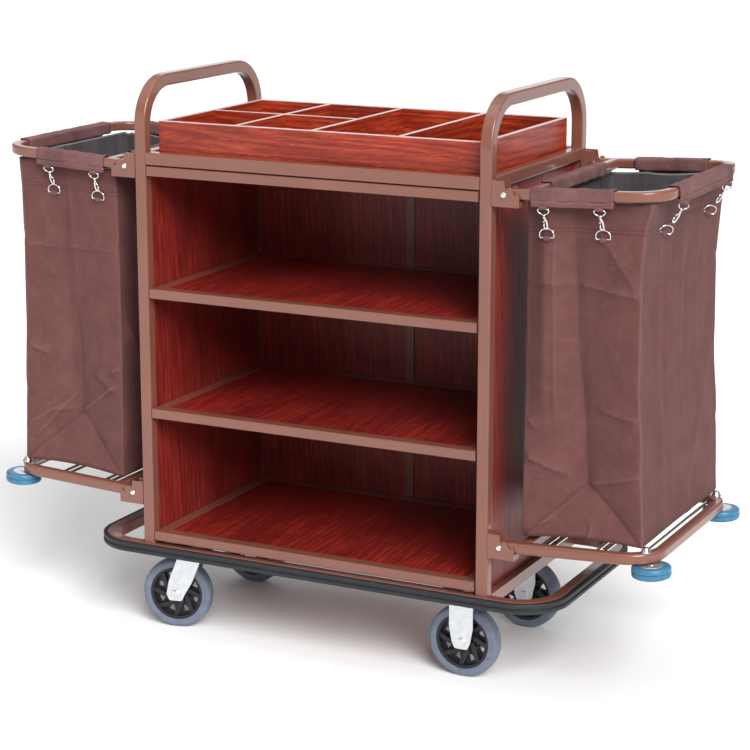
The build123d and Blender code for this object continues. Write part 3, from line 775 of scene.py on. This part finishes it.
def bag_corners(bag, t):
    """Level x and y of the four corners at a height, front inner first, going round by the outside."""
    seed = bag["seed"]
    sway = [1.6 * ripple(seed + 30 + k, t * 5.5, 0.5, 0.5) * smooth(t * 12) for k in range(4)]
    press = -1.5 * hump(t - 0.75, 0.015) - 1.2 * hump(t - 0.24, 0.02)
    inner = between(bag["inner_x"], t)
    outer = between(bag["outer_x"], t)
    outer += (bag["rim_x"] - bag["outer_x"][-1]) * smooth((t - 0.9) / 0.1) ** 1.5
    front_in, front_out = between(bag["front_inner_y"], t), between(bag["front_outer_y"], t)
    return [
        (inner + sway[0] - press, front_in + sway[0]),
        (outer + sway[1] + press, front_out + sway[1]),
        (outer + sway[2] + press, 217 + sway[2] * 0.6),
        (inner + sway[3] - press, 215 + sway[3]),
    ]


def wall_points(bag, panel, start, end, t, dent):
    """Points along a panel at one height, closer at its sides; its edges are pressed creases, and all
    but the inner panel's carry a painted highlight.
    """
    width = (end - start).length
    along = (end - start) / width
    out = Vector((along.y, -along.x))
    count = PANEL_COLUMNS[panel]
    points = []
    for i in range(count + 1):
        even = i / count
        eased = 0.5 - 0.5 * math.cos(math.pi * even)
        s = (BAG_CORNER + (width - 2 * BAG_CORNER) * (0.35 * even + 0.65 * eased)) / width
        stand, crease = panel_offset(bag, panel, s, t, width, bag_height())
        # Painted highlight along the pressed edges of all panels but the inner one.
        if panel != "inner":
            crease += 0.3 * hump(min(s, 1 - s) * width - 4, 1.5)
        flat = start + along * s * width + out * (stand + dent)
        points.append(Vector((flat.x, flat.y, crease)))
    return points


def corner_points(panel, start, end, onward_end, dent):
    """Points round the corner at a panel's end, which is pinched to an edge with a painted highlight,
    except at the inner panel's end.
    """
    along = (end - start) / (end - start).length
    out = Vector((along.y, -along.x))
    onward = (onward_end - end).normalized()
    centre = end - along * BAG_CORNER + onward * BAG_CORNER
    pinch, crease = (0.8, 0.0) if panel == "inner" else (1.5, 0.45)
    points = []
    for step in range(1, CORNER_STEPS):
        angle = math.pi / 2 * step / CORNER_STEPS
        away = out * math.cos(angle) + along * math.sin(angle)
        peak = pinch * math.sin(2 * angle) ** 3
        flat = centre + away * (BAG_CORNER + peak + dent)
        points.append(Vector((flat.x, flat.y, crease)))
    return points


def bag_row(bag, t):
    """Points round the bag at one height, from foot (0) to rim (1): level x and y, and the painted
    light and shade of its creases.
    """
    corners = [Vector(corner) for corner in bag_corners(bag, t)]
    dent = seam_dent((1 - t) * bag_height())
    ring = []
    for k, panel in enumerate(PANELS):
        start, end, onward_end = corners[k], corners[(k + 1) % 4], corners[(k + 2) % 4]
        ring += wall_points(bag, panel, start, end, t, dent)
        ring += corner_points(panel, start, end, onward_end, dent)
    return ring


def bag_point(flat, t):
    """Carries a level point at a height into the frame; the foot's edge lifts between corners."""
    foot = raised(flat.x, flat.y, BAG_FOOT_LIFT, LOWER_PIVOT_Z)
    rim = raised(flat.x, flat.y, -BAG_RIM_DROP, UPPER_PIVOT_Z)
    point = foot.lerp(rim, t)
    across = min(1.0, max(0.0, (flat.x - 454) / 246))
    lift = 7.0 * math.sin(math.pi * across) * (1 - smooth(t * 6))
    slack = 2.6 * abs(math.sin(flat.x / 34.0)) * smooth((t - 0.96) * 25)
    slack *= smooth((695 - flat.x) / 12)
    at_end = RIM_RAISE * smooth((flat.x - 680) / 12) * smooth((200 - abs(flat.y)) / 20)
    end_rise = at_end * smooth((t - 0.9) * 10)
    return point + Vector((0, 0, lift - slack - 0.4 + end_rise))


def bag_rows():
    """Heights of the rows of vertices, closer at the foot and along the sewn rim."""
    height = bag_height()
    rows = [0.0, 1.2, 2.5, 4.5, 7.0, 10.0]
    while rows[-1] < height - SEAM_DROPS[1] - 8:
        rows.append(rows[-1] + 4.0)
    while rows[-1] < height - SEAM_DROPS[0] + 4:
        rows.append(rows[-1] + 1.1)
    while rows[-1] < height - 5:
        rows.append(rows[-1] + 3.5)
    return [row / height for row in rows if row < height - 2] + [1.0]


def rounded_foot(ring, rise):
    """Draws a ring of points in close to the foot, and out a little just above it."""
    middle = sum(ring, Vector()) / len(ring)
    tuck = 3.0 * (1 - smooth(rise / 5.0))
    bulge = 0.9 * hump(rise - 9, 4)
    moved = []
    for p in ring:
        away = Vector((p.x - middle.x, p.y - middle.y, 0)).normalized()
        moved.append(p + away * (bulge - tuck))
    return moved


def bag_floor(foot):
    """Rings of points from the foot's edge to its middle, sagging, and their faces."""
    count = len(foot)
    middle = sum(foot, Vector()) / count
    points = []
    for k in range(FLOOR_RINGS):
        share = 1 - k / FLOOR_RINGS
        sag = 7.0 * (1 - share * share) + (1.2 if k else 0)
        points += [middle.lerp(p, share) - Vector((0, 0, sag)) for p in foot]
    points.append(middle - Vector((0, 0, 8.2)))
    faces = [tuple(reversed(face)) for face in grid_faces(FLOOR_RINGS, count, True)]
    last = (FLOOR_RINGS - 1) * count
    centre = len(points) - 1
    faces += [(last + (k + 1) % count, last + k, centre) for k in range(count)]
    return points, faces


def bag_shell(bag):
    """The walls and the sagging floor as one surface; the rim rows are marked for the pale hem."""
    rows = bag_rows()
    height = bag_height()
    form = Form()
    flats = [bag_row(bag, t) for t in rows]
    # The third value of each level point is the painted light and shade of the creases, kept as the
    # crease attribute.
    form.creases = [flat.z for row in flats for flat in row]
    count = len(flats[0])
    rings = []
    for t, row in zip(rows, flats):
        ring = [bag_point(flat, t) for flat in row]
        rings.append(rounded_foot(ring, t * height))
    faces = grid_faces(len(rows), count, True)
    form.add([p for ring in rings for p in ring], faces)
    form.marks = [2 if height * (1 - rows[i // count]) < RIM_HEM else 0 for i in range(len(faces))]
    return form.add(*bag_floor(rings[0]))


def flatten(made):
    """Gives the object a mesh of its own."""
    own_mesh(made)


def merge_close(made, distance):
    weld = made.modifiers.new("weld", "WELD")
    weld.merge_threshold = distance * MM
    return settle(made)


def rim_stitches(bag):
    """The two rows of stitches that hold the rim's hem."""
    threads = Form()
    for drop in SEAM_DROPS:
        t = 1 - drop / bag_height()
        ring = [bag_point(flat, t) for flat in bag_row(bag, t)]
        ring.append(ring[0])
        normals = []
        for a, b in zip(ring, ring[1:]):
            along = (b - a).normalized()
            normals.append(Vector((along.y, -along.x, 0)).normalized())
        threads.join(dashes(ring, normals, 4.2, 3.4, 0.55))
    return threads


def make_bag(bag, side):
    name = side_name(side)
    cloths = [CLOTH_OUT, CLOTH_IN, CLOTH_OUT, CLOTH_HEM]
    shell = piece(f"bag_shell_{name}", bag_shell(bag), cloths, "cart", side)
    merge_close(shell, 0.02)
    thicken(shell, CLOTH, -1.0, inner=1, rim=3)
    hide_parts(f"bag_{name}")
    flatten(shell)
    threads = rim_stitches(bag)
    sewn = piece(f"bag_stitches_{name}", threads, [THREAD], "cart", side)
    flatten(sewn)


# ---------------------------------------------------------------- cuffs, hooks and rings

# The middle line of each side of the ring, and where each side's cuff starts and ends along it
TUBES = {"front": -RING_Y, "back": RING_Y, "end": RING_END_X, "inner": RING_BAR_X}
CUFFS = (
    ("front", (470.0, 633.0)),
    ("back", (508.0, 660.0)),
    ("end", (-155.0, 155.0)),
    ("inner", (-140.0, 140.0)),
)
SKIRT_FOOT = -21.0
SKIRT_TURN = ((-3.0, -12.2), (3.0, -12.3), (7.5, -12.8), (9.6, -14.0), (10.3, -16.5))


def cuff_profile(seed, run):
    """The cloth's middle line round the square tube: outwards is +, up is +."""
    profile = []
    for up in (SKIRT_FOOT, -18.0, -15.0, -12.0, -9.0):
        profile.append((12.0 + 0.25 * ripple(seed, run / 18, up / 9, 0), up))
    steps = 26
    for k in range(1, steps):
        angle = -0.2 * math.pi + 1.62 * math.pi * k / steps
        c, s = math.cos(angle), math.sin(angle)
        out = 12.1 * math.copysign(abs(c) ** 0.32, c)
        up = 12.1 * math.copysign(abs(s) ** 0.32, s)
        loose = 1.1 * ripple(seed + 1, run / 26, angle * 1.5, 3)
        loose += 0.4 * ripple(seed + 2, run / 8, angle * 2, 3)
        loose += 0.9 * (1 - abs(2 * ripple(seed + 3, run / 34, angle * 1.2, 5))) ** 5
        profile.append((out + c * loose, up + s * loose))
    profile += SKIRT_TURN
    profile.append((10.5, SKIRT_FOOT))
    return profile


def standing(kind, run, wall, out, up):
    """Frame place of a point that stands out from a wall or a tube of one side of the ring."""
    if kind in ("front", "back"):
        return raised(run, wall + (out if kind == "back" else -out), up, UPPER_PIVOT_Z)
    return raised(wall + (out if kind == "end" else -out), run, up, UPPER_PIVOT_Z)


def cuff_place(kind, out, up, run):
    """Frame place of a point of a cuff, out and up from the middle of its tube."""
    return standing(kind, run, TUBES[kind], out, up)


def cuff_form(kind, span, seed):
    """A sleeve of cloth wrapped round the tube, its two edges sewn together below."""
    length = span[1] - span[0]
    count = int(length / 4)
    points = []
    for row in range(count + 1):
        run = span[0] + length * row / count
        profile = cuff_profile(seed, run)
        points += [cuff_place(kind, out, up, run) for out, up in profile]
    columns = len(cuff_profile(seed, 0))
    faces = grid_faces(count + 1, columns, False)
    if kind in ("front", "end"):
        faces = [tuple(reversed(face)) for face in faces]
    return Form().add(points, faces)


def cuff_stitches(kind, span):
    length = span[1] - span[0]
    rows = int(length / 5)
    runs = [span[0] + 2 + (length - 4) * k / rows for k in range(rows + 1)]
    path = [cuff_place(kind, 12.9, -16.5, run) for run in runs]
    normal = (cuff_place(kind, 20, 0, runs[0]) - cuff_place(kind, 0, 0, runs[0])).normalized()
    return dashes(path, [normal] * len(path), 4.2, 3.3, 0.5)


def make_cuffs(side):
    name = side_name(side)
    threads = Form()
    sleeves = Form()
    for index, (kind, span) in enumerate(CUFFS):
        sleeves.join(cuff_form(kind, span, 40 + index + 7 * side))
        threads.join(cuff_stitches(kind, span))
    made = piece(f"ring_sleeves_{name}", sleeves, [SLEEVE_CLOTH], f"ring_{name}", side)
    thicken(made, 1.2, 0.0)
    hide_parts(f"ring_cuffs_{name}")
    piece(f"sleeve_stitches_{name}", threads, [THREAD], f"ring_{name}", side)


def hook_eye():
    """The oval the strap passes through: flat along the top, drawn in to the swivel below."""
    path = []
    for k in range(36):
        angle = 2 * math.pi * k / 36
        c, s = math.cos(angle), math.sin(angle)
        narrow = 0.82 + 0.18 * s
        path.append((13.4 * math.copysign(abs(c) ** 0.75, c) * narrow, 0, -6.5 + 6.3 * s))
    return round_bar(path, 1.25, closed=True)


# The swivel as (radius, height), and the hook's bend as (x, z, radius)
SWIVEL_FOOT = ((1.2, -22), (2.9, -21.4), (3.3, -20), (2.4, -18.6))
SWIVEL_TOP = ((2.4, -15.4), (3.4, -14.6), (3.4, -12.6), (1.6, -11.8))
HOOK_BACK = ((0, -20, 2.5), (1.6, -23, 2.5), (2.8, -27, 2.3), (3.2, -32, 2.1), (3.3, -37, 2.0))
HOOK_BOW = ((2.5, -41.5, 1.9), (0, -43.6, 1.9), (-2.6, -42, 1.8), (-3.7, -38.5, 1.7))
HOOK_TIP = ((-3.5, -35, 1.6), (-2.8, -32.5, 1.3))


def hook_nose():
    """The swivel, the body that tapers into a hook, and its thumb gate."""
    swivel = turned(SWIVEL_FOOT + SWIVEL_TOP, 16)
    bend = HOOK_BACK + HOOK_BOW + HOOK_TIP
    body = round_bar([(x, 0, z) for x, z, _ in bend], [radius for _, _, radius in bend])
    gate = round_bar([(-2.9, 0, -32), (-1.8, 0, -27), (0, 0, -23.5)], [1.0, 1.2, 1.0], sides=8)
    thumb = turned([(0.4, -2.4), (1.4, -1.6), (1.5, 0.6), (0.5, 1.6)], 12)
    thumb.place(Matrix.Translation((-3.6, 0, -28)) @ Matrix.Rotation(math.radians(-70), 4, "Y"))
    return swivel.join(body).join(gate).join(thumb)


def d_ring():
    """Arched above, with a straight bar below that is sewn to the bag."""
    path = []
    for k in range(25):
        angle = math.pi * k / 24
        path.append((14.4 * math.cos(angle), 0, 12.5 * math.sin(angle) ** 0.85))
    path += [(-14.3, 0, -2.6), (-13.0, 0, -4.6), (13.0, 0, -4.6), (14.3, 0, -2.6)]
    return round_bar(path, 1.35, closed=True)


def strap(width, profile):
    """A strip of cloth of a width along X that follows a profile of (y, z) points."""
    points = []
    columns = 7
    for y, z in profile:
        for k in range(columns):
            share = k / (columns - 1) - 0.5
            bow = 0.25 * math.cos(math.pi * share)
            points.append((share * width, y - bow, z))
    faces = grid_faces(len(profile), columns, False)
    return Form().add(points, faces)


def hook_strap():
    """Out of the sewn edge of the cuff, round the eye's flat top and back."""
    out = [(-0.9, 5.0), (-1.7, 2.0), (-2.0, -0.5), (-1.4, -2.2)]
    back = [(0, -2.8), (1.4, -2.2), (1.9, -0.4), (1.6, 2.0), (0.9, 5.0)]
    return strap(15, out + back)


def ring_strap():
    """Holds the D ring's bar against the bag."""
    out = [(1.4, -11.5), (-0.4, -10.5), (-1.6, -7.5), (-2.1, -4.6)]
    back = [(-1.4, -2.9), (0.2, -2.3), (1.6, -3.2), (1.8, -6.0)]
    return strap(13, out + back)


# The cuff each hook hangs from and its place along it, the way each side's hooks face, and how far
# the D rings are below the hinge plane
HOOKS = (
    ("front", 494.0),
    ("front", 605.0),
    ("back", 535.0),
    ("back", 633.0),
    ("end", -127.0),
    ("end", 127.0),
    ("inner", -113.0),
    ("inner", 113.0),
)
FACINGS = {"front": 0.0, "back": math.pi, "end": math.radians(48), "inner": -math.pi / 2}
RING_DROP = -62.0


def bag_face(bag, kind, run, drop):
    """Where the bag's wall is at a drop below the hinge plane: its level y, or x at the ends."""
    t = 1 - (drop - BAG_RIM_DROP) / bag_height()
    row = bag_row(bag, t)
    if kind in ("front", "back"):
        sign = -1 if kind == "front" else 1
        wall = [p for p in row if p.y * sign > 150]
        return min(wall, key=lambda p: abs(p.x - run)).y
    wall = [p for p in row if (p.x > 600 if kind == "end" else p.x < 520)]
    return min(wall, key=lambda p: abs(p.y - run)).x


def hook_matrix(top, foot, facing):
    """Carries a form that hangs down its own Z from the origin to hang from top towards foot."""
    down = (foot - top).normalized()
    turn = Matrix.Rotation(facing, 3, "Z")
    up = -down
    side = (turn @ Vector((1, 0, 0))).normalized()
    back = up.cross(side).normalized()
    side = back.cross(up).normalized()
    rotation = Matrix((side, back, up)).transposed().to_4x4()
    return Matrix.Translation(top) @ rotation


def make_hooks(bag, side):
    name = side_name(side)
    hooks, straps, rings, tabs = Form(), Form(), Form(), Form()
    for index, (kind, run) in enumerate(HOOKS):
        facing = FACINGS[kind]
        wall = bag_face(bag, kind, run, -RING_DROP + 10)
        top = cuff_place(kind, 11.2, SKIRT_FOOT - 2.4, run)
        lean = 3.0 * ripple(index + 5 * side, 0.3, 0.7, index)
        reach = 15.0 if kind == "end" else 5.0
        foot = standing(kind, run + lean, wall, reach, RING_DROP - 3)
        hang = hook_matrix(top, foot, facing)
        hooks.join(hook_eye().join(hook_nose()).place(hang))
        straps.join(hook_strap().place(hang))
        low = standing(kind, run + lean, wall, 4.2, RING_DROP - 14)
        high = standing(kind, run + lean * 1.5, wall, reach - 0.4, RING_DROP)
        seat = hook_matrix(low, low * 2 - high, facing)
        rings.join(d_ring().place(seat))
        tabs.join(ring_strap().place(seat))
    metal_hooks = piece(f"hooks_{name}", hooks, [NICKEL], f"ring_{name}", side)
    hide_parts(f"snap_hooks_{name}")
    cloth = piece(f"hook_straps_{name}", straps, [SLEEVE_CLOTH], f"ring_{name}", side)
    thicken(cloth, 1.0, 0.0)
    metal_rings = piece(f"d_rings_{name}", rings, [NICKEL], "cart", side)
    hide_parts(f"bag_rings_{name}")
    flatten(metal_rings)
    sewn = piece(f"ring_straps_{name}", tabs, [SLEEVE_CLOTH], "cart", side)
    thicken(sewn, 1.0, 0.0)
    flatten(sewn)


# ---------------------------------------------------------------- small metal pieces

CAP_X = 706.0
CAP_Y = 208.0


def cap_nut():
    """An acorn nut on its washer, standing on the origin."""
    profile = [(0.2, 0), (10.5, 0), (10.8, 0.6), (10.5, 1.3), (8.6, 1.6), (8.6, 4.6), (8.0, 5.6)]
    for k in range(1, 8):
        angle = math.pi / 2 * k / 8
        profile.append((7.4 * math.cos(angle), 5.8 + 5.2 * math.sin(angle)))
    profile.append((0.3, 11.0))
    return turned(profile, 32)


def make_caps(side):
    """The acorn nuts over the bumper rollers, at the outer corners of the bag rest."""
    name = side_name(side)
    caps = Form()
    for y in (-CAP_Y, CAP_Y):
        foot = raised(CAP_X, y, REST_HALF - 0.3, LOWER_PIVOT_Z)
        caps.join(cap_nut().place(Matrix.Translation(foot) @ Matrix.Rotation(-TILT, 4, "Y")))
    piece(f"cap_nuts_{name}", caps, [NICKEL], f"rest_{name}", side)


for bag_side, bag_shape in ((1, RIGHT_BAG), (-1, LEFT_BAG)):
    make_bag(bag_shape, bag_side)
    make_cuffs(bag_side)
    make_hooks(bag_shape, bag_side)
    make_caps(bag_side)


# ---------------------------------------------------------------- studio


def aim_light(light, direction):
    light.rotation_mode = "QUATERNION"
    light.rotation_quaternion = Vector(direction).to_track_quat("-Z", "Y")


def area_light(name, place, aim, size, power):
    data = bpy.data.lights.new(name, "AREA")
    data.shape = "RECTANGLE"
    data.size, data.size_y = size
    data.energy = power
    light = put_in(name, data)
    light.location = place
    aim_light(light, Vector(aim) - Vector(place))


def sun_light(name, direction, strength, spread):
    data = bpy.data.lights.new(name, "SUN")
    data.energy = strength
    data.angle = math.radians(spread)
    aim_light(put_in(name, data), direction)


def lights():
    world = bpy.data.worlds.new("studio")
    bpy.context.scene.world = world
    world.use_nodes = True
    background = world.node_tree.nodes["Background"]
    background.inputs["Color"].default_value = (1, 1, 1, 1)
    background.inputs["Strength"].default_value = 0.24
    sun_light("key", (-0.6, 0.6, -0.58), 4.2, 34)
    sun_light("sky", (0.1, 0.1, -1), 0.8, 90)
    area_light("fill", (-2.4, -3.4, 1.6), (0, 0, 0.6), (1.8, 1.8), 10)
    area_light("top", (0, -0.4, 3.4), (0, 0, 0.6), (3.0, 1.4), 14)
    area_light("back", (-1.9, 3.7, 2.4), (0, 0, 0.9), (4.5, 2.0), 28)


def floor():
    half = 30.0
    corners = [(-half, -half, 0), (half, -half, 0), (half, half, 0), (-half, half, 0)]
    mesh = bpy.data.meshes.new("floor")
    mesh.from_pydata(corners, [], [(0, 1, 2, 3)])
    s = Shader("floor_paint", (0.9, 0.9, 0.9), specular_ior_level=0.1)
    tone = s.ramp(s.grain(1, 2), [(0.3, (0.915, 0.915, 0.915)), (0.7, (0.925, 0.925, 0.925))])
    s.set("Base Color", tone)
    s.set("Roughness", s.spread(s.grain(40, 3), 0.8, 0.95))
    mesh.materials.append(s.material)
    put_in("floor", mesh)


def backdrop():
    """A pale wall round the floor, seen over the horizon in low views. It lights nothing."""
    sides, radius, height = 64, 28.0, 16.0
    ring = [2 * math.pi * k / sides for k in range(sides)]
    points = [(radius * math.cos(a), radius * math.sin(a), z) for z in (-0.5, height) for a in ring]
    mesh = bpy.data.meshes.new("backdrop")
    mesh.from_pydata(points, [], grid_faces(2, sides, True))
    wall = put_in("backdrop", mesh)
    s = Shader("backdrop_paint", (0.9, 0.9, 0.9), roughness=0.9, emission_strength=1.0)
    s.material.cycles.emission_sampling = "NONE"
    mesh.materials.append(s.material)
    wall.visible_diffuse = False
    wall.visible_glossy = False
    wall.visible_transmission = False
    wall.visible_shadow = False


# Lens in millimetres, place in metres, and degrees that the camera looks down and round
LENS = 107.6
EYE = (2.0571, -4.0342, 1.6510)
LOOK_DOWN = 13.65
LOOK_ROUND = 26.69


def camera():
    data = bpy.data.cameras.new("camera")
    data.lens = LENS
    data.sensor_width = 36.0
    data.clip_start = 0.05
    data.clip_end = 100.0
    eye = put_in("camera", data)
    eye.location = EYE
    eye.rotation_euler = (math.radians(90 - LOOK_DOWN), 0, math.radians(LOOK_ROUND))
    bpy.context.scene.camera = eye


lights()
floor()
backdrop()
camera()
bpy.context.scene.view_settings.view_transform = "Standard"
